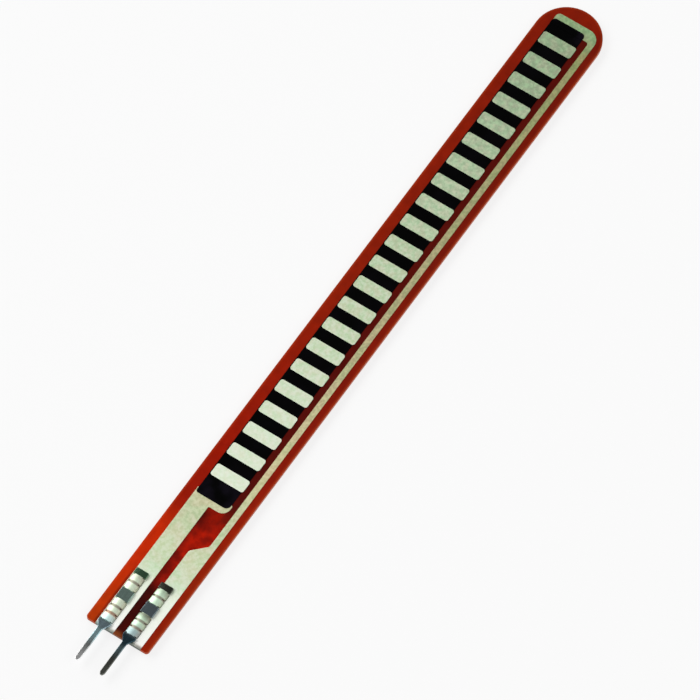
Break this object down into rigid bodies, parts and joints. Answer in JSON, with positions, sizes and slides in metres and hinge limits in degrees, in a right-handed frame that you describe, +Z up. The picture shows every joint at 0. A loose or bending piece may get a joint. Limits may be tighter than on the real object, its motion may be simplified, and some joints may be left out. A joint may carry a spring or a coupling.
{
  "type": "flex sensor",
  "caption": "Flat flexible bend sensor: a film strip with a printed carbon ladder, silver leads and crimped solder tails that changes resistance as it bends.",
  "frame": {"origin": "centre of the bounding box at the lowest point of the crimped claws, which the sensor lies on", "axes": "+X along the strip towards its round tip, +Y across it towards the feed lead's side, +Z up out of the printed face"},
  "size_m": [0.0776, 0.0064, 0.0009],
  "materials": {
    "film": "satin",
    "silver_ink": "satin",
    "carbon_ink": "matte",
    "tinned_metal": "satin"
  },
  "bodies": {
    "root": {"base_film": "film", "feed_trace": "silver_ink", "return_trace": "silver_ink", "resistive_strip": "carbon_ink", "conductor_segment_01": "silver_ink", "conductor_segment_02": "silver_ink", "conductor_segment_03": "silver_ink", "conductor_segment_04": "silver_ink", "conductor_segment_05": "silver_ink", "conductor_segment_06": "silver_ink", "conductor_segment_07": "silver_ink", "conductor_segment_08": "silver_ink", "conductor_segment_09": "silver_ink", "conductor_segment_10": "silver_ink", "conductor_segment_11": "silver_ink", "conductor_segment_12": "silver_ink", "conductor_segment_13": "silver_ink", "conductor_segment_14": "silver_ink", "conductor_segment_15": "silver_ink", "conductor_segment_16": "silver_ink", "conductor_segment_17": "silver_ink", "conductor_segment_18": "silver_ink", "conductor_segment_19": "silver_ink", "conductor_segment_20": "silver_ink", "conductor_segment_21": "silver_ink", "conductor_segment_22": "silver_ink", "feed_terminal": "tinned_metal", "return_terminal": "tinned_metal"}
  },
  "joints": []
}
